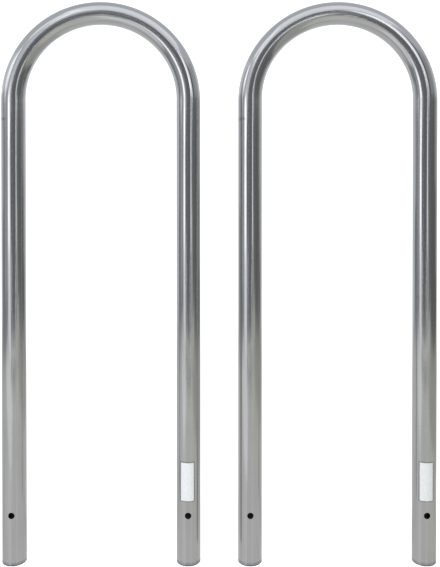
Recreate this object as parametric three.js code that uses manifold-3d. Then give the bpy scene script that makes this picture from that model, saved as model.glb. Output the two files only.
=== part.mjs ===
// Hoop bike rack, sold as a set of two loose hoops.
//
// Each hoop is one length of round stainless steel pipe bent to an inverted U. Its legs are set in a
// concrete footing, and a cross hole low on each leg takes the anchor bar that keys it there. The right
// leg of each hoop carries a small blank label above its cross hole. The bend draws the pipe slightly
// oval: thinner in the plane of the hoop, all of it on the inside of the bend, and a little fatter across.
//
// Millimetres, +Z up, +X along the row of hoops, -Y the front. The origin lies level with the leg ends,
// midway between the two hoops.

import * as THREE from "three";
import { mergeVertices } from "three/addons/utils/BufferGeometryUtils.js";
import Module from "manifold-3d";

const wasm = await Module();
wasm.setup();

// Driving dimensions
const pipeDiameter = 48.26;
const pipeWall = 3.68;
const clearWidth = 304.8; // between the two legs of a hoop
const overallHeight = 1130.3; // from the leg ends to the top of the bend
const gapBetweenHoops = 76.2;

// What the bend does to the pipe at its crown, as shares of the pipe's diameter
const bendFlatteningShare = 0.06;
const bendSpreadShare = 0.03;

// Broken edges of the cut ends
const endChamfer = 1;
const boreChamfer = 0.5;

// Cross hole for the anchor bar, measured from the leg's end to its middle
const crossHoleDiameter = 12.7;
const crossHoleHeight = 101.6;

// Label, with its width measured round the pipe
const labelWidth = 28;
const labelHeight = 77;
const labelThickness = 0.2;
const labelCornerRadius = 1.5;
const labelClearance = 0.3; // the film of adhesive under it
const labelRise = 23; // from the cross hole's edge to the label's lower edge
const labelTurnDegrees = 4; // round the pipe from its front, towards the middle of the hoop

// How far each cutting solid runs past what it cuts
const cutOverrun = 5;

// Facets
const pipeSides = 48;
const boreSides = 24;
const bendSteps = 32;
const holeSides = 24;
const labelRingSides = 96;
const cornerSteps = 4;

// Worked out from the driving dimensions
const pipeRadius = pipeDiameter / 2;
const bendRadius = (clearWidth + pipeDiameter) / 2;
const springHeight = overallHeight - bendRadius - pipeRadius;
const hoopSpacing = clearWidth + 2 * pipeDiameter + gapBetweenHoops;
const across = new THREE.Vector3(0, 1, 0);

const stainlessSteel = new THREE.MeshStandardMaterial({
  color: 0xb3b5b7,
  roughness: 0.24,
  metalness: 1,
});
const whiteVinyl = new THREE.MeshStandardMaterial({
  color: 0xf2f4f2,
  roughness: 0.4,
  metalness: 0,
});

// A closed three.js geometry as a solid that can be cut.
function solidOf(geometry) {
  const bare = geometry.clone();
  bare.deleteAttribute("normal");
  bare.deleteAttribute("uv");
  const merged = mergeVertices(bare);
  return new wasm.Manifold(
    new wasm.Mesh({
      numProp: 3,
      vertProperties: merged.getAttribute("position").array,
      triVerts: new Uint32Array(merged.index.array),
    }),
  );
}

function geometryOf(solid) {
  const { vertProperties, triVerts } = solid.getMesh();
  const geometry = new THREE.BufferGeometry();
  geometry.setAttribute("position", new THREE.BufferAttribute(vertProperties, 3));
  geometry.setIndex(new THREE.BufferAttribute(triVerts, 1));
  geometry.computeVertexNormals();
  return geometry;
}

// One cross-section of the pipe: an oval whose first point looks away from the middle of the hoop.
function sectionRing({ centre, outward, inPlane, sideways }, sides) {
  return Array.from({ length: sides }, (_, i) => {
    const turn = (2 * Math.PI * i) / sides;
    return centre
      .clone()
      .addScaledVector(outward, inPlane * Math.cos(turn))
      .addScaledVector(across, sideways * Math.sin(turn));
  });
}

// A closed skin over a row of rings with equal counts, with a flat fan over each end.
function loft(rings) {
  const sides = rings[0].length;
  const points = rings.flat();
  const faces = [];
  for (let r = 0; r + 1 < rings.length; r++) {
    for (let i = 0; i < sides; i++) {
      const a = r * sides + i;
      const b = r * sides + ((i + 1) % sides);
      faces.push(a, a + sides, b);
      faces.push(b, a + sides, b + sides);
    }
  }
  const last = points.length - sides;
  for (let i = 1; i + 1 < sides; i++) {
    faces.push(0, i, i + 1);
    faces.push(last, last + i + 1, last + i);
  }
  const geometry = new THREE.BufferGeometry().setFromPoints(points);
  geometry.setIndex(faces);
  return geometry;
}

// How fully the bend has drawn the pipe oval: nothing where the legs start, everything at the crown.
function drawnOval(angle) {
  return 1 - (1 - Math.sin(angle)) ** 2;
}

// The pipe's section at an angle round the bend, for the skin that lies inset under its outside.
function bendSection(angle, inset) {
  const oval = drawnOval(angle);
  const thinning = pipeRadius * bendFlatteningShare * oval;
  const outward = new THREE.Vector3(Math.cos(angle), 0, Math.sin(angle));
  const middle = new THREE.Vector3(0, 0, springHeight);
  return {
    centre: middle.addScaledVector(outward, bendRadius + thinning),
    outward,
    inPlane: pipeRadius - inset - thinning,
    sideways: pipeRadius - inset + pipeRadius * bendSpreadShare * oval,
  };
}

// The pipe's sections down one leg's cut end, listed upwards as height and growth in radius.
function legSections(side, inset, endProfile) {
  return endProfile.map(([height, growth]) => ({
    centre: new THREE.Vector3(side * bendRadius, 0, height),
    outward: new THREE.Vector3(side, 0, 0),
    inPlane: pipeRadius - inset + growth,
    sideways: pipeRadius - inset + growth,
  }));
}

// A whole skin of the hoop, from the left leg's end over the bend to the right leg's end.
function hoopSkin(inset, endProfile, sides) {
  const bend = Array.from({ length: bendSteps + 1 }, (_, i) =>
    bendSection(Math.PI * (1 - i / bendSteps), inset),
  );
  const sections = [
    ...legSections(-1, inset, endProfile),
    ...bend,
    ...legSections(1, inset, endProfile).reverse(),
  ];
  return solidOf(loft(sections.map((section) => sectionRing(section, sides))));
}

// The bent pipe before drilling: its outside less its bore, with both edges of each cut end broken.
function bentPipe() {
  const outsideEnd = [
    [0, -endChamfer],
    [endChamfer, 0],
  ];
  const boreEnd = [
    [-cutOverrun, boreChamfer],
    [0, boreChamfer],
    [boreChamfer, 0],
  ];
  return hoopSkin(0, outsideEnd, pipeSides).subtract(hoopSkin(pipeWall, boreEnd, boreSides));
}

// What the drill takes out of both walls of one leg, from front to back.
function crossHoleCutter(side) {
  const radius = crossHoleDiameter / 2;
  const drill = new THREE.CylinderGeometry(radius, radius, pipeDiameter + 2 * cutOverrun, holeSides);
  return solidOf(drill.translate(side * bendRadius, 0, crossHoleHeight));
}

function hoop(name) {
  const solid = bentPipe().subtract(crossHoleCutter(-1)).subtract(crossHoleCutter(1));
  const mesh = new THREE.Mesh(geometryOf(solid), stainlessSteel);
  mesh.name = name;
  return mesh;
}

// The label's outline as seen from the front, so its width is the chord of the arc that it covers.
function labelOutline(radius) {
  const x = radius * Math.sin(labelWidth / 2 / radius) - labelCornerRadius;
  const y = labelHeight / 2 - labelCornerRadius;
  const quarter = Math.PI / 2;
  const shape = new THREE.Shape();
  shape.absarc(x, y, labelCornerRadius, 0, quarter);
  shape.absarc(-x, y, labelCornerRadius, quarter, 2 * quarter);
  shape.absarc(-x, -y, labelCornerRadius, 2 * quarter, 3 * quarter);
  shape.absarc(x, -y, labelCornerRadius, 3 * quarter, 4 * quarter);
  return shape;
}

// A thin curved plate: the label's outline cut from a sleeve round the pipe, on the front of the right leg.
function label(name) {
  const inner = pipeRadius + labelClearance;
  const outer = inner + labelThickness;
  const sleeveProfile = [
    new THREE.Vector2(inner, -labelHeight),
    new THREE.Vector2(outer, -labelHeight),
    new THREE.Vector2(outer, labelHeight),
    new THREE.Vector2(inner, labelHeight),
    new THREE.Vector2(inner, -labelHeight),
  ];
  const sleeve = new THREE.LatheGeometry(sleeveProfile, labelRingSides).rotateX(Math.PI / 2);
  const stamp = new THREE.ExtrudeGeometry(labelOutline(outer), {
    depth: outer + cutOverrun,
    bevelEnabled: false,
    curveSegments: cornerSteps,
  }).rotateX(Math.PI / 2);
  const mesh = new THREE.Mesh(geometryOf(solidOf(sleeve).intersect(solidOf(stamp))), whiteVinyl);
  mesh.name = name;
  const foot = crossHoleHeight + crossHoleDiameter / 2 + labelRise;
  mesh.position.set(bendRadius, 0, foot + labelHeight / 2);
  mesh.rotation.z = -THREE.MathUtils.degToRad(labelTurnDegrees);
  return mesh;
}

function labelledHoop(place, side) {
  const group = new THREE.Group();
  group.add(hoop(`${place}_hoop`), label(`${place}_hoop_label`));
  group.position.x = (side * hoopSpacing) / 2;
  return group;
}

const rack = new THREE.Group();
rack.add(labelledHoop("left", -1), labelledHoop("right", 1));

export default rack;
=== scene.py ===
"""Dresses the hoop bike rack: two loose hoops of polished stainless pipe, each with a blank label.

Lengths are in metres, in the CAD model's frame: x along the row, y to the back, and z up from the
leg ends.
"""

import math

import bmesh
import bpy
from mathutils import Euler, Matrix, Vector


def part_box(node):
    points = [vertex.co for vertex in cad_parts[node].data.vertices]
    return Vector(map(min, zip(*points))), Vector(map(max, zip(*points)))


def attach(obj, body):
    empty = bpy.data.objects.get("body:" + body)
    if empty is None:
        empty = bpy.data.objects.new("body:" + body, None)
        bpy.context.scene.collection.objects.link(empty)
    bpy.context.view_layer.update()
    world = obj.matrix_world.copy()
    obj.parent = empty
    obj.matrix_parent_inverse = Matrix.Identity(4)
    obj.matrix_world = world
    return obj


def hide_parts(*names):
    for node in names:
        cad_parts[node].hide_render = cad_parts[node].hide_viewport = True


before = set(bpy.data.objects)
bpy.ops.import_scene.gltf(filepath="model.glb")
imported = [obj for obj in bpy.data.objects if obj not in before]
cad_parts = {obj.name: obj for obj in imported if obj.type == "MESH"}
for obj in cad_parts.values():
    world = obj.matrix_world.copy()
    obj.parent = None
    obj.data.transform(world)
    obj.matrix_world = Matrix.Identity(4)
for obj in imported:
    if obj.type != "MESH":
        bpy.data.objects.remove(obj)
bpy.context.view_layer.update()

bl_info = {
    "name": "Hoop Bike Rack",
    "version": (1, 0, 0),
    "blender": (4, 5, 0),
    "location": "3D View > Sidebar > Hoop Rack",
    "description": "Builds a pair of stainless hoop bike racks in a pale studio",
    "category": "Add Mesh",
}

PLACES = ("left", "right")


def cad_hoop_centre(place):
    """Where a hoop's middle lies along the row, from its CAD node."""
    low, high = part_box(f"{place}_hoop")
    return (low.x + high.x) / 2


def cad_hoop_height():
    """From the leg ends to the crown, from the left hoop's CAD node."""
    low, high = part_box("left_hoop")
    return high.z - low.z


# Sizes and finishes that a user would change


def length(name, description, default):
    """A length in metres."""
    return bpy.props.FloatProperty(
        name=name,
        description=description,
        default=default,
        min=0.0,
        precision=6,
        subtype="DISTANCE",
        unit="LENGTH",
    )


def degrees(name, description, default):
    """An angle, with its default in degrees."""
    return bpy.props.FloatProperty(
        name=name, description=description, default=math.radians(default), subtype="ANGLE"
    )


def share(name, description, default):
    """A number from 0 to 1."""
    return bpy.props.FloatProperty(
        name=name, description=description, default=default, min=0.0, max=1.0, subtype="FACTOR"
    )


def count(name, description, default, smallest):
    """A number of quads."""
    return bpy.props.IntProperty(
        name=name, description=description, default=default, min=smallest
    )


def colour(name, description, default):
    """A colour in linear red, green and blue."""
    return bpy.props.FloatVectorProperty(
        name=name,
        description=description,
        default=default,
        size=3,
        min=0.0,
        max=1.0,
        subtype="COLOR",
    )


def strength(name, description, default):
    """How strong a light is."""
    return bpy.props.FloatProperty(
        name=name, description=description, default=default, min=0.0
    )


class HoopSizes(bpy.types.PropertyGroup):
    """Lengths of the bent pipe, as in the CAD model."""

    pipe_diameter: length("Pipe diameter", "Outside diameter of the pipe", 0.04826)
    pipe_wall: length("Pipe wall", "Wall thickness of the pipe", 0.00368)
    clear_width: length("Clear width", "Between the two legs of a hoop", 0.3048)
    overall_height: length("Overall height", "From the leg ends to the crown", cad_hoop_height())
    bend_flattening: share("Bend flattening", "How much thinner the crown is in its plane", 0.06)
    bend_spread: share("Bend spread", "How much fatter the crown is across its plane", 0.03)
    end_rounding: length("End rounding", "Radius of the broken outer edge of a leg's end", 0.001)
    bore_rounding: length("Bore rounding", "Width of the broken inner edge of a leg's end", 0.0005)
    hole_diameter: length("Cross hole diameter", "Hole for the anchor bar", 0.0127)
    hole_height: length("Cross hole height", "From the leg's end to the hole's middle", 0.1016)
    hole_edge: length("Cross hole edge", "Width of the hole's deburred edge", 0.0004)
    pipe_sides: count("Pipe sides", "Quads round the pipe, in steps of 16", 128, 64)
    bend_steps: count("Bend steps", "Quads along the bend", 96, 4)


class LabelSizes(bpy.types.PropertyGroup):
    """Lengths of the blank label on each right leg, as in the CAD model."""

    width: length("Width", "Measured round the pipe", 0.028)
    height: length("Height", "Along the pipe", 0.077)
    corner_radius: length("Corner radius", "Rounding of the four corners", 0.0015)
    rise: length("Rise", "From the cross hole's edge to the label's lower edge", 0.023)
    underside: length("Underside", "Height of the label's back over the pipe", 0.0001)
    face: length("Face", "Height of the label's front over the pipe", 0.0005)
    edge_rounding: length("Edge rounding", "Rounding of the label's cut edge", 0.00015)
    turn: degrees("Turn", "Round the pipe from its front, towards the middle of the hoop", 4)


class SteelFinish(bpy.types.PropertyGroup):
    """The look of the polished pipe."""

    base: colour("Steel", "Colour of the clean steel", (0.61, 0.61, 0.61))
    dull: colour("Dull steel", "Colour where the polish is cloudy", (0.58, 0.58, 0.58))
    # This colour serves the clamp mark, and the dark line round the label, which is dirty and also
    # painted shade of the label's edge
    rubbed_and_edge_shade: colour(
        "Rubbed steel", "Colour of the clamp mark and of dirt round the label", (0.30, 0.30, 0.31)
    )
    bore: colour("Bore", "Colour of the unpolished inside of the pipe", (0.22, 0.215, 0.21))
    roughness: share("Roughness", "Roughness of the clean steel", 0.13)
    roughness_spread: share("Roughness spread", "How far the polish varies", 0.02)
    anisotropy: share("Anisotropy", "How much more the polish blurs along the pipe", 0.741)
    scratch_depth: length("Scratch depth", "Depth of the polishing lines", 0.0000003)
    clamp_drop: length("Clamp mark drop", "From the bend's start down to the clamp mark", 0.0352)
    clamp_height: length("Clamp mark height", "Along the pipe", 0.0055)


class LabelFinish(bpy.types.PropertyGroup):
    """The look of the blank vinyl label."""

    face: colour("Face", "Colour of the clean vinyl", (0.87, 0.89, 0.90))
    # This colour paints the dark line along the label's cut edge, grimy and also painted shade of
    # the edge
    edge: colour("Edge", "Colour of the grimy cut edge", (0.30, 0.32, 0.31))
    roughness: share("Roughness", "Roughness of the vinyl", 0.38)


class StudioSettings(bpy.types.PropertyGroup):
    """Camera, lights and surroundings."""

    camera_place: bpy.props.FloatVectorProperty(
        name="Camera place",
        description="Where the camera stands",
        default=(0.00148, -1.5, 0.79074),
        subtype="TRANSLATION",
        unit="LENGTH",
    )
    camera_pitch: degrees("Camera pitch", "How far it looks down", 0.599)
    focal_length: bpy.props.FloatProperty(
        name="Focal length", description="In millimetres on a 36 mm frame", default=47.163, min=1.0
    )
    lens_shift: bpy.props.FloatProperty(
        name="Lens shift", description="Upwards, in frame widths", default=-0.185, min=-1.0, max=1.0
    )
    light: strength("Light", "Brightness of all panels together", 1.0)
    fill: strength("Matt fill", "Radiance of the light that only matt surfaces show", 4.0)


# Meshes

# The two legs of a hoop, left and right, and the two faces of a leg, front and back
LEGS = (-1, 1)
FACES = (-1, 1)
# Rows up a leg: round the broken edge of its end, over a plain strip of END_STRIP, up to the square
# patch round the cross hole, over that patch, and on to the bend
END_STEPS = 4
END_STRIP = 0.0008
LOW_STEPS = 4
PATCH_STEPS = 16
HIGH_STEPS = 12
# Where a patch's own loops lie on the way from its outline to the ring round the hole
PATCH_SHARES = (0.35, 0.7)
# The ring round the hole reaches this many widths of the deburred edge from the hole, or this far
# from the sharp edge in the bore
RING_WIDTHS = 3
BORE_RING = 0.0008
# How far in and down the middle of the deburred edge lies, as a share of the edge's width
EDGE_MIDDLE = 0.3
LABEL_CORNER_STEPS = 6
LABEL_ROWS = 24
LABEL_COLUMNS = 32


class Section:
    """A cross-section of a skin: its middle, the way outwards, both radii and its place along."""

    def __init__(self, middle, outwards, in_plane, sideways, along):
        self.x, self.z = middle
        self.out_x, self.out_z = outwards
        self.in_plane = in_plane
        self.sideways = sideways
        self.along = along


class Skin:
    """One hoop's points, each with its place round, along and in the pipe, and its faces."""

    def __init__(self, offset):
        self.offset = offset
        self.points = []
        self.places = []
        self.faces = []

    def add(self, point, around, along, depth):
        """Adds a point and returns its index."""
        self.points.append(point)
        self.places.append((around, along, depth))
        return len(self.points) - 1

    def band(self, first, second):
        """Quads between two closed loops with equal counts."""
        for i in range(len(first)):
            j = (i + 1) % len(first)
            self.faces.append((first[i], first[j], second[j], second[i]))


def drawn_oval(angle):
    """How fully the bend has drawn the pipe oval: 0 at the legs, 1 at the crown."""
    return 1 - (1 - math.sin(angle)) ** 2


def pipe_layout(sizes):
    """Radius of the pipe, radius of the bend and height of the bend's start."""
    pipe_radius = sizes.pipe_diameter / 2
    bend_radius = (sizes.clear_width + sizes.pipe_diameter) / 2
    spring_height = sizes.overall_height - bend_radius - pipe_radius
    return pipe_radius, bend_radius, spring_height


def pipe_length(sizes):
    """From one leg's end round the bend to the other's, along the pipe's middle."""
    _, bend_radius, spring_height = pipe_layout(sizes)
    return 2 * spring_height + bend_radius * math.pi


def label_middle(hoop, label):
    """Height of the label's middle over the leg's end."""
    return hoop.hole_height + hoop.hole_diameter / 2 + label.rise + label.height / 2


def even_steps(start, end, steps):
    """Values after start up to and including end."""
    return [start + (end - start) * (i + 1) / steps for i in range(steps)]


def leg_profile(sizes, inset):
    """(height, growth in radius) up one leg, and the row where the cross hole's patch starts."""
    pipe_radius, _, spring_height = pipe_layout(sizes)
    edge, sign = (sizes.bore_rounding, 1) if inset else (sizes.end_rounding, -1)
    rows = []
    for i in range(END_STEPS + 1):
        turn = math.pi / 2 * i / END_STEPS
        rows.append((edge * (1 - math.cos(turn)), sign * edge * (1 - math.sin(turn))))
    rows.append((edge + END_STRIP, 0.0))
    half_patch = PATCH_STEPS / 2 * (2 * math.pi * pipe_radius / sizes.pipe_sides)
    foot, top = sizes.hole_height - half_patch, sizes.hole_height + half_patch
    rows += [(h, 0.0) for h in even_steps(rows[-1][0], foot, LOW_STEPS)]
    start = len(rows) - 1
    rows += [(h, 0.0) for h in even_steps(foot, top, PATCH_STEPS)]
    rows += [(h, 0.0) for h in even_steps(rows[-1][0], spring_height, HIGH_STEPS)]
    return rows, start


def hoop_sections(sizes, inset):
    """Every section of one skin, and the row where the left leg's patch starts."""
    pipe_radius, bend_radius, spring_height = pipe_layout(sizes)
    profile, start = leg_profile(sizes, inset)
    radius = pipe_radius - inset
    rows = []
    for height, growth in profile:
        reach = radius + growth
        rows.append(Section((-bend_radius, height), (-1.0, 0.0), reach, reach, height))
    for i in range(1, sizes.bend_steps):
        angle = math.pi * (1 - i / sizes.bend_steps)
        oval = drawn_oval(angle)
        thinning = pipe_radius * sizes.bend_flattening * oval
        sideways = radius + pipe_radius * sizes.bend_spread * oval
        out_x, out_z = math.cos(angle), math.sin(angle)
        reach = bend_radius + thinning
        middle = (reach * out_x, spring_height + reach * out_z)
        along = spring_height + bend_radius * (math.pi - angle)
        rows.append(Section(middle, (out_x, out_z), radius - thinning, sideways, along))
    whole = pipe_length(sizes)
    for height, growth in reversed(profile):
        reach = radius + growth
        rows.append(Section((bend_radius, height), (1.0, 0.0), reach, reach, whole - height))
    return rows, start


def hole_rims(sizes, inset):
    """Loops of a cross hole on one skin, from outside inwards: (radius, depth under the skin)."""
    hole = sizes.hole_diameter / 2
    if inset:
        return [(hole + BORE_RING, 0.0), (hole, 0.0)]
    edge = sizes.hole_edge
    return [
        (hole + RING_WIDTHS * edge, 0.0),
        (hole + edge, 0.0),
        (hole + EDGE_MIDDLE * edge, EDGE_MIDDLE * edge),
        (hole, edge),
    ]


def patch_perimeter():
    """Row and column steps once round a patch, from the corner where both are lowest."""
    size = PATCH_STEPS
    return (
        [(0, i) for i in range(size)]
        + [(i, size) for i in range(size)]
        + [(size, size - i) for i in range(size)]
        + [(size - i, 0) for i in range(size)]
    )


def add_skin(skin, sizes, inset):
    """Adds one whole skin of the hoop, inset from the outside. Returns its end and hole loops."""
    sides = sizes.pipe_sides
    rows, patch_start = hoop_sections(sizes, inset)
    last = len(rows) - 1
    left, right = LEGS
    front, back = FACES
    starts = {left: patch_start, right: last - patch_start - PATCH_STEPS}
    columns = {
        front: sides * 3 // 4 - PATCH_STEPS // 2,
        back: sides // 4 - PATCH_STEPS // 2,
    }
    corners = {(leg, face): (starts[leg], columns[face]) for leg in LEGS for face in FACES}
    patch_cells, inside = set(), set()
    for row, column in corners.values():
        for i in range(PATCH_STEPS):
            for j in range(PATCH_STEPS):
                patch_cells.add((row + i, column + j))
                if i and j:
                    inside.add((row + i, column + j))
    grid = {}
    for r, row in enumerate(rows):
        for c in range(sides):
            if (r, c) in inside:
                continue
            turn = 2 * math.pi * c / sides
            reach = row.in_plane * math.cos(turn)
            x = row.x + row.out_x * reach + skin.offset
            y = row.sideways * math.sin(turn)
            z = row.z + row.out_z * reach
            grid[r, c] = skin.add(Vector((x, y, z)), turn, row.along, inset)
    for r in range(last):
        for c in range(sides):
            if (r, c) in patch_cells:
                continue
            d = (c + 1) % sides
            skin.faces.append((grid[r, c], grid[r, d], grid[r + 1, d], grid[r + 1, c]))
    holes = {
        (leg, face): add_patch(skin, sizes, inset, grid, rows, corner, leg, face)
        for (leg, face), corner in corners.items()
    }
    ends = [[grid[r, c] for c in range(sides)] for r in (0, last)]
    return ends, holes


def add_patch(skin, sizes, inset, grid, rows, corner, leg, face):
    """Runs the skin from a patch's square outline down to the round edge of a cross hole."""
    pipe_radius, bend_radius, _ = pipe_layout(sizes)
    radius = pipe_radius - inset
    first_row, first_column = corner
    rims = hole_rims(sizes, inset)
    hole_along = rows[first_row + PATCH_STEPS // 2].along
    climb = -leg
    outline, spots = [], []
    for i, j in patch_perimeter():
        outline.append(grid[first_row + i, (first_column + j) % sizes.pipe_sides])
        height = rows[first_row + i].z
        turn = 2 * math.pi * (first_column + j) / sizes.pipe_sides
        across = radius * math.cos(turn) * leg
        spots.append((turn, height, math.atan2(height - sizes.hole_height, across)))

    def on_skin(across, height, depth):
        """Adds a point on or under the leg's round face, across to the right of its middle."""
        y = math.sqrt(radius**2 - across**2) - depth
        turn = math.atan2(face * y, across * leg)
        along = hole_along + climb * (height - sizes.hole_height)
        point = Vector((leg * bend_radius + across + skin.offset, face * y, height))
        return skin.add(point, turn % (2 * math.pi), along, inset)

    def rim_spot(angle, size):
        """Across and height of a spot on a circle round the hole."""
        return size * math.cos(angle), sizes.hole_height + size * math.sin(angle)

    previous = outline
    for part in PATCH_SHARES:
        loop = []
        for turn, height, angle in spots:
            ring_across, ring_height = rim_spot(angle, rims[0][0])
            start_turn = math.asin(math.cos(turn) * leg)
            end_turn = math.asin(ring_across / radius)
            mid_turn = start_turn + (end_turn - start_turn) * part
            mid_height = height + (ring_height - height) * part
            loop.append(on_skin(radius * math.sin(mid_turn), mid_height, 0.0))
        skin.band(previous, loop)
        previous = loop
    for size, depth in rims:
        loop = [on_skin(*rim_spot(angle, size), depth) for _, _, angle in spots]
        skin.band(previous, loop)
        previous = loop
    return previous


def add_hole_walls(skin, outer_holes, inner_holes):
    """Joins each cross hole's edge on the outside to its edge in the bore, which it returns."""
    edges = []
    for key, outer in outer_holes.items():
        inner = inner_holes[key]
        middle = []
        for a, b in zip(outer, inner):
            around, along, _ = skin.places[a]
            depth = skin.places[b][2] / 2
            middle.append(skin.add((skin.points[a] + skin.points[b]) / 2, around, along, depth))
        skin.band(outer, middle)
        skin.band(middle, inner)
        edges.append(inner)
    return edges


def smooth_mesh(name, points, faces, uv_name, face_uvs, sharp_loops=()):
    """A smooth mesh with its faces outwards, a UV map and some loops of sharp edges."""
    mesh = bpy.data.meshes.new(name)
    mesh.from_pydata(points, [], faces)
    work = bmesh.new()
    work.from_mesh(mesh)
    work.verts.ensure_lookup_table()
    bmesh.ops.recalc_face_normals(work, faces=work.faces)
    for loop in sharp_loops:
        for i, start in enumerate(loop):
            end = loop[(i + 1) % len(loop)]
            work.edges.get((work.verts[start], work.verts[end])).smooth = False
    uv_layer = work.loops.layers.uv.new(uv_name)
    for face in work.faces:
        face.smooth = True
        uvs = face_uvs([loop.vert.index for loop in face.loops])
        for loop, uv in zip(face.loops, uvs):
            loop[uv_layer].uv = uv
    work.to_mesh(mesh)
    work.free()
    return mesh


def hoop_mesh(name, sizes, offset):
    """One bent pipe, closed, with the place of each point in its unbent length as an attribute."""
    skin = Skin(offset)
    outer_ends, outer_holes = add_skin(skin, sizes, 0)
    inner_ends, inner_holes = add_skin(skin, sizes, sizes.pipe_wall)
    for outer, inner in zip(outer_ends, inner_ends):
        skin.band(outer, inner)
    sharp_loops = add_hole_walls(skin, outer_holes, inner_holes)
    pipe_radius = sizes.pipe_diameter / 2

    def along_and_round(corners):
        """A face's UVs, where a face over the seam runs on past the whole turn."""
        arounds = [skin.places[corner][0] for corner in corners]
        wraps = max(arounds) - min(arounds) > math.pi
        uvs = []
        for corner, around in zip(corners, arounds):
            if wraps and around < math.pi:
                around += 2 * math.pi
            uvs.append((skin.places[corner][1], around * pipe_radius))
        return uvs

    points = [tuple(point) for point in skin.points]
    mesh = smooth_mesh(name, points, skin.faces, "pipe", along_and_round, sharp_loops)
    values = []
    for around, along, depth in skin.places:
        reach = pipe_radius - depth
        values += [reach * math.cos(around), reach * math.sin(around), along + offset]
    mesh.attributes.new("pipe_place", "FLOAT_VECTOR", "POINT").data.foreach_set("vector", values)
    return mesh


def label_mesh(name, hoop, sizes, offset):
    """A thin curved plate with rounded corners on the front of the right leg."""
    pipe_radius, bend_radius, _ = pipe_layout(hoop)
    corner, half_height = sizes.corner_radius, sizes.height / 2
    turns = [math.pi / 2 * i / LABEL_CORNER_STEPS for i in range(LABEL_CORNER_STEPS + 1)]
    heights = [-half_height + corner * (1 - math.cos(turn)) for turn in turns]
    half_widths = [sizes.width / 2 - corner * (1 - math.sin(turn)) for turn in turns]
    rows = list(zip(heights, half_widths))
    straight = even_steps(heights[-1], -heights[-1], LABEL_ROWS)[:-1]
    rows += [(height, sizes.width / 2) for height in straight]
    rows += [(-height, width) for height, width in reversed(list(zip(heights, half_widths)))]
    per_row = LABEL_COLUMNS + 1
    middle = label_middle(hoop, sizes)
    axis = offset + bend_radius
    points, faces, uvs = [], [], []

    def layer(radius, inset):
        """Adds one grid of the label at a radius, drawn in by inset along its whole outline."""
        start = len(points)
        for height, half_width in rows:
            for c in range(per_row):
                side = 2 * c / LABEL_COLUMNS - 1
                across = side * (half_width - inset)
                up = height * (half_height - inset) / half_height
                turn = across / (pipe_radius + sizes.face) - sizes.turn
                x, y = axis + radius * math.sin(turn), -radius * math.cos(turn)
                points.append((x, y, middle + up))
                uvs.append((side * half_width, height))
        return start

    def edge_of(start):
        """The indices once round a layer's outline."""
        top = len(rows) - 1
        return (
            [start + c for c in range(LABEL_COLUMNS)]
            + [start + r * per_row + LABEL_COLUMNS for r in range(top)]
            + [start + top * per_row + c for c in range(LABEL_COLUMNS, 0, -1)]
            + [start + r * per_row for r in range(top, 0, -1)]
        )

    front = layer(pipe_radius + sizes.face, sizes.edge_rounding)
    back = layer(pipe_radius + sizes.underside, 0.0)
    for start in (front, back):
        for r in range(len(rows) - 1):
            for c in range(LABEL_COLUMNS):
                a = start + r * per_row + c
                faces.append((a, a + 1, a + per_row + 1, a + per_row))
    front_edge, back_edge = edge_of(front), edge_of(back)
    shoulder = []
    scale = (pipe_radius + sizes.face - sizes.edge_rounding) / (pipe_radius + sizes.underside)
    for index in back_edge:
        x, y, z = points[index]
        shoulder.append(len(points))
        points.append((axis + (x - axis) * scale, y * scale, z))
        uvs.append(uvs[index])
    for first, second in ((front_edge, shoulder), (shoulder, back_edge)):
        for i in range(len(first)):
            j = (i + 1) % len(first)
            faces.append((first[i], first[j], second[j], second[i]))

    def across_and_up(corners):
        """A face's UVs, measured from the label's middle."""
        return [uvs[corner] for corner in corners]

    return smooth_mesh(name, points, faces, "label", across_and_up)


# Materials

# Where the pipe's front lies, as an angle round it
PIPE_FRONT = 1.5 * math.pi
# Noises on the steel: cells to a metre across and along the pipe, detail and roughness
CLOUDS = ((22.0, 22.0, 9.0), 3.0, 0.55)
BANDS = ((4.0, 4.0, 90.0), 3.0, 0.6)
LINES = ((9.0, 9.0, 700.0), 2.0, 0.6)
# Between which values a noise goes from no effect to its full effect, and its middle value
CLOUDY_RANGE = (0.35, 0.7)
NOISE_RANGE = (0.3, 0.7)
NOISE_MIDDLE = 0.5
# How much of the roughness comes from the clouds and from the bands, and how much of the relief
# from the bands and from the fine lines
POLISH_SHARES = (0.5, 0.5)
RELIEF_SHARES = (0.7, 0.3)
# The clamp mark fades out between these distances from its middle, in shares of its height, and
# sets in between these distances from the pipe's middle outwards, in shares of the pipe's radius
CLAMP_FADE = (0.4, 0.75)
CLAMP_REACH = (0.25, 0.6)
CLAMP_RAGGED = 0.0005
CLAMP_STRENGTH = 0.55
CLAMP_ROUGHNESS = 0.03
# The bore's look ends at this share of the wall from the outside
BORE_REACH = 0.7
BORE_ROUGHNESS = 0.3
# A dark line on the steel round the label, dirty and also painted shade of the label's edge, which
# fades between these distances from the label's outline
OUTLINE_DIRT_AND_SHADE_FADE = (0.0008, 0.0024)
OUTLINE_DIRT_AND_SHADE_RAGGED = 0.0006
OUTLINE_DIRT_AND_SHADE_STRENGTH = 0.85
# The vinyl's mottle, and the dark line along its edge, grimy and also painted shade of the edge,
# which fades between these distances from the edge
MOTTLE_SCALE = 160.0
MOTTLE_DETAIL = 4.0
MOTTLE_RANGE = (0.35, 0.75)
MOTTLE_SHADE = 0.93
MOTTLE_ROUGHNESS = 0.1
MOTTLE_DEPTH = 0.00003
GRIME_AND_EDGE_SHADE_FADE = (0.0002, 0.0011)
GRIME_AND_EDGE_SHADE_RAGGED = 0.0006
# The floor's faint gloss, and how far over white the camera sees the floor and the surroundings
FLOOR_GLOSS = 0.06
FLOOR_ROUGHNESS = (0.06, 0.1)
PAPER_SCALE = 30.0
PAPER_DETAIL = 4.0
WHITE_OUT = 1.3


def opaque(tint):
    """A colour with full cover."""
    return (*tint, 1.0)


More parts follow.
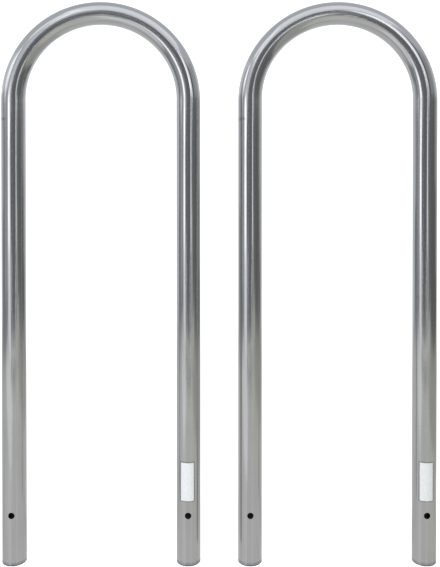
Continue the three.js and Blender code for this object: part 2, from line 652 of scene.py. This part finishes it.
class Nodes:
    """The node tree of a new material or world, and short ways to add and join its nodes."""

    def __init__(self, owner):
        owner.use_nodes = True
        self.owner = owner
        self.tree = owner.node_tree
        self.shader = self.tree.nodes.get("Principled BSDF")

    def node(self, kind, inputs=None, **settings):
        """A new node, its inputs joined to sockets or set to values."""
        new = self.tree.nodes.new(kind)
        for key, value in settings.items():
            setattr(new, key, value)
        for key, value in (inputs or {}).items():
            if isinstance(value, bpy.types.NodeSocket):
                self.tree.links.new(value, new.inputs[key])
            else:
                new.inputs[key].default_value = value
        return new

    def math(self, operation, first, second=0.0):
        """One step of arithmetic."""
        return self.node("ShaderNodeMath", {0: first, 1: second}, operation=operation).outputs[0]

    def add_scaled(self, value, extra, scale):
        """Value plus extra times scale."""
        return self.math("ADD", value, self.math("MULTIPLY", extra, scale))

    def off(self, value, centre):
        """How far value lies from centre."""
        return self.math("ABSOLUTE", self.math("SUBTRACT", value, centre))

    def span(self, value, low, high, start=0.0, end=1.0):
        """Value from low to high, turned smoothly into start to end."""
        return self.node(
            "ShaderNodeMapRange",
            {"Value": value, "From Min": low, "From Max": high, "To Min": start, "To Max": end},
            interpolation_type="SMOOTHSTEP",
        ).outputs["Result"]

    def mix(self, part, first, second):
        """The first colour where part is 0, the second where it is 1."""
        return self.node(
            "ShaderNodeMix", {"Factor": part, 6: first, 7: second}, data_type="RGBA"
        ).outputs[2]

    def noise(self, vector, scale, detail, roughness=0.5):
        """Noise from about 0.2 to 0.8."""
        return self.node(
            "ShaderNodeTexNoise",
            {"Vector": vector, "Scale": scale, "Detail": detail, "Roughness": roughness},
        ).outputs["Fac"]

    def stretched_noise(self, vector, scales, detail, roughness):
        """Noise with a scale of its own along each axis."""
        stretched = self.node("ShaderNodeMapping", {"Vector": vector, "Scale": scales})
        return self.noise(stretched.outputs[0], 1.0, detail, roughness)

    def split(self, vector):
        """The three parts of a vector."""
        return self.node("ShaderNodeSeparateXYZ", {0: vector}).outputs

    def to_shader(self, socket, value):
        """Joins a value to the Principled shader."""
        self.tree.links.new(value, self.shader.inputs[socket])

    def bump(self, height, depth):
        """Lets the Principled shader see a relief of a depth."""
        relief = self.node("ShaderNodeBump", {"Height": height, "Distance": depth, "Strength": 1.0})
        self.to_shader("Normal", relief.outputs["Normal"])

    def white_to_camera(self, kind, unseen, output):
        """Shows white of a kind of shader to the camera, and the unseen shader to all else."""
        seen = self.node(kind, {"Color": (1.0, 1.0, 1.0, 1.0), "Strength": WHITE_OUT})
        camera = self.node("ShaderNodeLightPath").outputs["Is Camera Ray"]
        both = self.node(
            "ShaderNodeMixShader", {0: camera, 1: unseen.outputs[0], 2: seen.outputs[0]}
        )
        self.tree.links.new(both.outputs[0], output.inputs["Surface"])


def label_outline_dirt_and_shade(nodes, along, around, clouds, hoop, label):
    """A thin dark line on the steel along the label's outline, dirty and also painted shade of the
    label's edge, from 0 to its strength.
    """
    centre = (PIPE_FRONT - label.turn) * hoop.pipe_diameter / 2
    middle = pipe_length(hoop) - label_middle(hoop, label)
    past_side = nodes.math("SUBTRACT", nodes.off(around, centre), label.width / 2)
    past_end = nodes.math("SUBTRACT", nodes.off(along, middle), label.height / 2)
    past = nodes.math("MAXIMUM", past_side, past_end)
    ragged = nodes.add_scaled(past, nodes.math("SUBTRACT", clouds, NOISE_MIDDLE), OUTLINE_DIRT_AND_SHADE_RAGGED)
    return nodes.span(ragged, *OUTLINE_DIRT_AND_SHADE_FADE, OUTLINE_DIRT_AND_SHADE_STRENGTH, 0.0)


def clamp_mark(nodes, along, outward, clouds, finish, hoop):
    """The dull band on the outer side of the left leg below the bend, from 0 to 1."""
    pipe_radius, _, spring_height = pipe_layout(hoop)
    off_band = nodes.off(along, spring_height - finish.clamp_drop)
    ragged = nodes.add_scaled(off_band, clouds, CLAMP_RAGGED)
    in_band = nodes.span(ragged, *[finish.clamp_height * part for part in CLAMP_FADE], 1.0, 0.0)
    outside = nodes.span(outward, *[pipe_radius * part for part in CLAMP_REACH])
    return nodes.math("MULTIPLY", in_band, outside)


def stainless_steel(finish, hoop, label):
    """Polished pipe: a cloudy polish, faint lines round it, a clamp mark, a dirty line round the
    label that also paints the shade of its edge, and a dull bore.
    """
    pipe_radius = hoop.pipe_diameter / 2
    nodes = Nodes(bpy.data.materials.new("polished stainless steel"))
    place = nodes.node("ShaderNodeAttribute", attribute_name="pipe_place").outputs["Vector"]
    along, around, _ = nodes.split(nodes.node("ShaderNodeUVMap", uv_map="pipe").outputs[0])
    outward = nodes.split(place)[0]
    clouds = nodes.stretched_noise(place, *CLOUDS)
    bands = nodes.stretched_noise(place, *BANDS)
    lines = nodes.stretched_noise(place, *LINES)

    mark = clamp_mark(nodes, along, outward, clouds, finish, hoop)
    dirt_and_edge_shade = label_outline_dirt_and_shade(nodes, along, around, clouds, hoop, label)
    flat_place = nodes.node(
        "ShaderNodeVectorMath", {0: place, 1: (1.0, 1.0, 0.0)}, operation="MULTIPLY"
    )
    off_axis = nodes.node(
        "ShaderNodeVectorMath", {0: flat_place.outputs[0]}, operation="LENGTH"
    ).outputs["Value"]
    bore_edge = pipe_radius - hoop.pipe_wall * BORE_REACH
    bore = nodes.span(off_axis, pipe_radius - hoop.pipe_wall, bore_edge, 1.0, 0.0)

    cloudy = nodes.span(clouds, *CLOUDY_RANGE)
    base = nodes.mix(cloudy, opaque(finish.base), opaque(finish.dull))
    base = nodes.mix(nodes.math("MULTIPLY", mark, CLAMP_STRENGTH), base, opaque(finish.rubbed_and_edge_shade))
    base = nodes.mix(bore, base, opaque(finish.bore))
    # Darkens the steel along the label's outline: dirty, and painted shade of the label's edge
    nodes.to_shader("Base Color", nodes.mix(dirt_and_edge_shade, base, opaque(finish.rubbed_and_edge_shade)))

    cloud_share, band_share = POLISH_SHARES
    polish = nodes.add_scaled(nodes.math("MULTIPLY", clouds, cloud_share), bands, band_share)
    smoothest = finish.roughness - finish.roughness_spread
    roughest = finish.roughness + finish.roughness_spread
    rough = nodes.span(polish, *NOISE_RANGE, smoothest, roughest)
    rough = nodes.add_scaled(rough, mark, CLAMP_ROUGHNESS)
    nodes.to_shader("Roughness", nodes.add_scaled(rough, bore, BORE_ROUGHNESS))

    band_share, line_share = RELIEF_SHARES
    relief = nodes.add_scaled(nodes.math("MULTIPLY", bands, band_share), lines, line_share)
    nodes.bump(relief, finish.scratch_depth)
    tangent = nodes.node("ShaderNodeTangent", direction_type="UV_MAP", uv_map="pipe")
    nodes.to_shader("Tangent", tangent.outputs[0])
    nodes.shader.inputs["Metallic"].default_value = 1.0
    nodes.shader.inputs["Anisotropic"].default_value = finish.anisotropy
    return nodes.owner


def label_vinyl(finish, sizes):
    """Blank white vinyl: faintly mottled, with a dark line along its cut edge that is grimy and
    also painted shade of the edge.
    """
    nodes = Nodes(bpy.data.materials.new("blank label vinyl"))
    place = nodes.node("ShaderNodeUVMap", uv_map="label").outputs[0]
    across, up, _ = nodes.split(place)
    from_side = nodes.math("SUBTRACT", sizes.width / 2, nodes.math("ABSOLUTE", across))
    from_end = nodes.math("SUBTRACT", sizes.height / 2, nodes.math("ABSOLUTE", up))
    from_edge = nodes.math("MINIMUM", from_side, from_end)
    mottle = nodes.noise(place, MOTTLE_SCALE, MOTTLE_DETAIL)
    ragged = nodes.add_scaled(from_edge, mottle, GRIME_AND_EDGE_SHADE_RAGGED)
    grime_and_edge_shade = nodes.span(ragged, *GRIME_AND_EDGE_SHADE_FADE, 1.0, 0.0)
    shade = [MOTTLE_SHADE * part for part in finish.face]
    clean = nodes.mix(nodes.span(mottle, *MOTTLE_RANGE), opaque(finish.face), opaque(shade))
    # Darkens the face along its outline: grimy, and painted shade of the label's edge
    nodes.to_shader("Base Color", nodes.mix(grime_and_edge_shade, clean, opaque(finish.edge)))
    roughest = finish.roughness + MOTTLE_ROUGHNESS
    nodes.to_shader("Roughness", nodes.span(mottle, *NOISE_RANGE, finish.roughness, roughest))
    nodes.bump(mottle, MOTTLE_DEPTH)
    return nodes.owner


def pale_floor():
    """White paper with a faint gloss, which the camera sees overexposed."""
    nodes = Nodes(bpy.data.materials.new("pale paper floor"))
    nodes.tree.nodes.remove(nodes.shader)
    position = nodes.node("ShaderNodeNewGeometry").outputs["Position"]
    paper = nodes.noise(position, PAPER_SCALE, PAPER_DETAIL)
    rough = nodes.span(paper, *NOISE_RANGE, *FLOOR_ROUGHNESS)
    tint = opaque([FLOOR_GLOSS] * 3)
    gloss = nodes.node("ShaderNodeBsdfGlossy", {"Color": tint, "Roughness": rough})
    nodes.white_to_camera("ShaderNodeEmission", gloss, nodes.tree.nodes["Material Output"])
    return nodes.owner


# Stage

# The floor reaches this far each way, and lies just under the leg ends
FLOOR_HALF = 12.0
FLOOR_STEPS = 24
FLOOR_DROP = 0.0004
# Millimetres, as the focal length
SENSOR_WIDTH = 36.0


def add_floor():
    """The pale floor as a grid."""
    coordinates = [-FLOOR_HALF] + even_steps(-FLOOR_HALF, FLOOR_HALF, FLOOR_STEPS)
    work = bmesh.new()
    grid = [[work.verts.new((x, y, -FLOOR_DROP)) for x in coordinates] for y in coordinates]
    for r in range(FLOOR_STEPS):
        for c in range(FLOOR_STEPS):
            work.faces.new((grid[r][c], grid[r][c + 1], grid[r + 1][c + 1], grid[r + 1][c]))
    mesh = bpy.data.meshes.new("floor")
    work.to_mesh(mesh)
    work.free()
    mesh.materials.append(pale_floor())
    floor = bpy.data.objects.new("floor", mesh)
    bpy.context.scene.collection.objects.link(floor)
    return floor


# Each hoop stands in a box of flat panels of its own, turned about the camera so that the box
# faces it squarely. A side of the box has the axis across it, its place, its panels' turn, and how
# far each further panel stands in front of the last, because a ray meets only one of two in the
# same plane
STAGGER = 0.0003
WALLS = {
    "front": (1, -1.4, (math.pi / 2, 0.0, 0.0), STAGGER),
    "back": (1, 1.6, (math.pi / 2, 0.0, math.pi), -STAGGER),
    "left": (0, -2.0, (math.pi / 2, 0.0, -math.pi / 2), STAGGER),
    "right": (0, 2.0, (math.pi / 2, 0.0, math.pi / 2), -STAGGER),
    "top": (2, 2.1, (0.0, 0.0, 0.0), -STAGGER),
    "floor": (2, 0.0, (math.pi, 0.0, 0.0), STAGGER),
}
WHITE = (1.0, 1.0, 1.0)
COOL = (0.955, 1.0, 1.065)
MILD = (0.975, 1.0, 1.035)
PLAIN = (0.99, 1.0, 0.985)
OLIVE = (0.985, 1.0, 0.925)
# Name, wall, from and to along its first axis and its second, radiance, tint
PANELS = (
    ("whole front", "front", (-2.00, 2.00), (0.00, 2.10), 0.174, COOL),
    ("whole left", "left", (-1.40, 1.60), (0.00, 2.10), 0.252, MILD),
    ("whole right", "right", (-1.40, 1.60), (0.00, 2.10), 0.153, OLIVE),
    ("whole top", "top", (-2.00, 2.00), (-1.40, 1.60), 0.598, COOL),
    ("whole back", "back", (-2.00, 2.00), (0.00, 2.10), 0.721, COOL),
    ("floor left", "floor", (-2.00, 0.20), (-1.40, 1.60), 0.407, PLAIN),
    ("floor right", "floor", (0.20, 2.00), (-1.40, 1.60), 0.407, OLIVE),
    ("key", "front", (-1.693, -0.788), (0.000, 0.846), 0.771, COOL),
    ("front upper left", "front", (-1.803, -0.501), (1.026, 2.100), 0.537, COOL),
    ("front upper", "front", (-0.601, 0.738), (1.668, 2.072), 0.664, COOL),
    ("second high", "front", (0.557, 0.794), (1.132, 1.710), 1.660, MILD),
    ("second lift", "front", (0.510, 0.670), (0.480, 1.030), 1.000, MILD),
    ("front upper right", "front", (0.823, 1.224), (1.100, 2.094), 0.966, MILD),
    ("second low", "front", (0.623, 1.056), (0.000, 0.628), 0.286, OLIVE),
    ("left upper", "left", (-1.313, 1.600), (1.275, 2.100), 0.502, COOL),
    ("left bright", "left", (-0.651, 0.089), (1.099, 1.918), 0.518, COOL),
    ("left near", "left", (-1.400, -0.112), (0.223, 2.100), 0.151, COOL),
    ("right upper", "right", (-1.312, 1.600), (1.181, 2.100), 0.206, COOL),
    ("right back", "right", (0.049, 1.600), (0.725, 2.100), 0.122, COOL),
    ("top front", "top", (-0.696, 1.155), (-1.400, -0.221), 0.451, MILD),
    ("floor front, step 1", "floor", (-1.790, 0.803), (-1.190, 0.030), 0.0425, PLAIN),
    ("floor front, step 2", "floor", (-1.790, 0.803), (-1.190, 0.080), 0.0425, PLAIN),
    ("floor front, step 3", "floor", (-1.790, 0.803), (-1.190, 0.160), 0.0425, PLAIN),
    ("floor front, step 4", "floor", (-1.790, 0.803), (-1.190, 0.300), 0.0425, PLAIN),
    ("front low strip", "front", (-0.816, 0.709), (0.071, 0.116), 1.284, OLIVE),
    ("front low left upright", "front", (-0.566, -0.492), (0.251, 0.504), 1.093, MILD),
    ("floor left near", "floor", (-1.945, -0.323), (-1.269, -0.384), 0.198, COOL),
    ("front thin upright", "front", (-0.327, -0.319), (0.007, 1.912), 1.314, MILD),
    ("front low right upright", "front", (0.366, 0.389), (0.176, 0.464), 2.882, PLAIN),
    ("key cap", "front", (-1.519, -0.843), (0.895, 1.075), 1.316, PLAIN),
    ("key lift", "front", (-1.520, -1.020), (0.440, 1.160), 0.340, COOL),
    ("front right low", "front", (1.005, 1.797), (0.004, 0.136), 0.534, OLIVE),
    ("top left near", "top", (-1.556, -0.590), (-1.300, -0.578), 0.571, PLAIN),
    ("right back middle", "right", (0.684, 1.540), (0.314, 1.892), 0.216, COOL),
    ("left back tall", "left", (1.007, 1.568), (0.000, 1.417), 0.504, COOL),
    ("front left low", "front", (-2.000, -1.824), (0.000, 1.173), 0.865, MILD),
    ("key outer lift", "front", (-1.782, -1.115), (0.449, 1.118), 0.595, PLAIN),
    ("floor middle far", "floor", (-1.583, 0.538), (0.185, 1.567), 0.132, COOL),
    ("left front high", "left", (-0.856, -0.717), (1.471, 2.100), 1.683, PLAIN),
    ("left back middle", "left", (0.266, 0.937), (0.616, 1.253), 0.239, COOL),
    ("front right middle", "front", (0.532, 0.946), (0.591, 1.393), 0.155, COOL),
    ("front left high", "front", (-0.948, -0.708), (1.616, 2.100), 0.901, PLAIN),
)
# A light that only brightens what is matt: it doesn't show in the steel
FILL_PLACE = (-0.4, -2.2, 1.3)
FILL_TURN = (math.radians(80), 0.0, math.radians(-10))
FILL_SIZE = 1.6


def add_lamp(name, stand, width, height, radiance, tint):
    """An area light, its power set so that its face has one radiance whatever its size."""
    lamp = bpy.data.lights.new(name, "AREA")
    lamp.shape = "RECTANGLE"
    lamp.size = width
    lamp.size_y = height
    lamp.energy = radiance * math.pi * width * height
    lamp.color = tint
    holder = bpy.data.objects.new(name, lamp)
    holder.matrix_world = stand
    holder.visible_camera = False
    bpy.context.scene.collection.objects.link(holder)
    return holder


def stand_at(place, turn):
    """The matrix of something that stands at a place with a turn."""
    return Matrix.Translation(place) @ Euler(turn).to_matrix().to_4x4()


def add_box(place, floor, studio):
    """One hoop's box of panels, which light that hoop, its label and, faintly, the floor."""
    lit = bpy.data.collections.new(f"lit by the {place} box")
    for piece in (f"{place}_pipe", f"{place}_label"):
        lit.objects.link(bpy.data.objects[piece])
    lit.objects.link(floor)
    eye = Vector(studio.camera_place)
    swing = math.atan2(eye.x - cad_hoop_centre(place), -eye.y)
    turned = Matrix.Translation(eye) @ Matrix.Rotation(swing, 4, "Z") @ Matrix.Translation(-eye)
    for order, (name, wall, first, second, radiance, tint) in enumerate(PANELS, start=1):
        axis, distance, turn, step = WALLS[wall]
        centre = [sum(first) / 2, sum(second) / 2]
        centre.insert(axis, distance + step * order)
        width, height = first[1] - first[0], second[1] - second[0]
        holder = add_lamp(
            f"{place} box, {name}",
            turned @ stand_at(centre, turn),
            width,
            height,
            radiance * studio.light,
            tint,
        )
        holder.light_linking.receiver_collection = lit


def add_world():
    """White behind everything the camera sees. The steel mirrors only the panels."""
    world = bpy.data.worlds.new("studio")
    bpy.context.scene.world = world
    nodes = Nodes(world)
    nodes.tree.nodes.clear()
    dark = nodes.node("ShaderNodeBackground", {"Strength": 0.0})
    nodes.white_to_camera("ShaderNodeBackground", dark, nodes.node("ShaderNodeOutputWorld"))


def add_camera(studio):
    """A camera at the photograph's place."""
    camera = bpy.data.cameras.new("photo view")
    camera.sensor_width = SENSOR_WIDTH
    camera.lens = studio.focal_length
    camera.shift_y = studio.lens_shift
    holder = bpy.data.objects.new("photo view", camera)
    holder.location = studio.camera_place
    holder.rotation_euler = (math.pi / 2 - studio.camera_pitch, 0.0, 0.0)
    bpy.context.scene.collection.objects.link(holder)
    bpy.context.scene.camera = holder


def add_piece(name, mesh, material, node):
    """Puts a finished mesh into the scene in place of its CAD node."""
    mesh.materials.append(material)
    piece = bpy.data.objects.new(name, mesh)
    bpy.context.scene.collection.objects.link(piece)
    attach(piece, "root")
    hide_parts(node)


# Operators


class HOOPRACK_OT_hoops(bpy.types.Operator):
    """Build both hoops of bent, cross-drilled and polished pipe"""

    bl_idname = "hooprack.hoops"
    bl_label = "Build Hoops"

    def execute(self, context):
        scene = context.scene
        steel = stainless_steel(scene.hoop_steel, scene.hoop_sizes, scene.hoop_label_sizes)
        for place in PLACES:
            mesh = hoop_mesh(f"{place}_pipe", scene.hoop_sizes, cad_hoop_centre(place))
            add_piece(f"{place}_pipe", mesh, steel, f"{place}_hoop")
        return {"FINISHED"}


class HOOPRACK_OT_labels(bpy.types.Operator):
    """Build the blank label on each hoop's right leg"""

    bl_idname = "hooprack.labels"
    bl_label = "Build Labels"

    def execute(self, context):
        scene = context.scene
        vinyl = label_vinyl(scene.hoop_label_finish, scene.hoop_label_sizes)
        for place in PLACES:
            centre = cad_hoop_centre(place)
            mesh = label_mesh(f"{place}_label", scene.hoop_sizes, scene.hoop_label_sizes, centre)
            add_piece(f"{place}_label", mesh, vinyl, f"{place}_hoop_label")
        return {"FINISHED"}


class HOOPRACK_OT_stage(bpy.types.Operator):
    """Build the pale floor, the soft lights, the surroundings and the camera"""

    bl_idname = "hooprack.stage"
    bl_label = "Build Stage"

    def execute(self, context):
        studio = context.scene.hoop_studio
        context.scene.view_settings.view_transform = "Standard"
        floor = add_floor()
        add_world()
        for place in PLACES:
            add_box(place, floor, studio)
        fill_stand = stand_at(FILL_PLACE, FILL_TURN)
        fill = add_lamp("matt fill", fill_stand, FILL_SIZE, FILL_SIZE, studio.fill, WHITE)
        fill.visible_glossy = False
        add_camera(studio)
        return {"FINISHED"}


class HOOPRACK_PT_sidebar(bpy.types.Panel):
    """Lists the rack's sizes and finishes, and the steps that build it"""

    bl_idname = "HOOPRACK_PT_sidebar"
    bl_label = "Hoop Rack"
    bl_space_type = "VIEW_3D"
    bl_region_type = "UI"
    bl_category = "Hoop Rack"

    def draw(self, context):
        layout = self.layout
        for operator in OPERATORS:
            layout.operator(operator.bl_idname)
        for name, group in SETTINGS:
            box = layout.box()
            box.label(text=group.__doc__)
            for key in group.__annotations__:
                box.prop(getattr(context.scene, name), key)


OPERATORS = (HOOPRACK_OT_hoops, HOOPRACK_OT_labels, HOOPRACK_OT_stage)
SETTINGS = (
    ("hoop_sizes", HoopSizes),
    ("hoop_label_sizes", LabelSizes),
    ("hoop_steel", SteelFinish),
    ("hoop_label_finish", LabelFinish),
    ("hoop_studio", StudioSettings),
)


def register():
    """Registers the settings, the operators and the sidebar."""
    for name, group in SETTINGS:
        bpy.utils.register_class(group)
        setattr(bpy.types.Scene, name, bpy.props.PointerProperty(type=group))
    for operator in OPERATORS:
        bpy.utils.register_class(operator)
    bpy.utils.register_class(HOOPRACK_PT_sidebar)


def unregister():
    """Takes back what register did, in the opposite order."""
    bpy.utils.unregister_class(HOOPRACK_PT_sidebar)
    for operator in reversed(OPERATORS):
        bpy.utils.unregister_class(operator)
    for name, group in reversed(SETTINGS):
        delattr(bpy.types.Scene, name)
        bpy.utils.unregister_class(group)


def main():
    """Builds everything."""
    register()
    bpy.ops.hooprack.hoops()
    bpy.ops.hooprack.labels()
    bpy.ops.hooprack.stage()


if __name__ == "__main__":
    main()
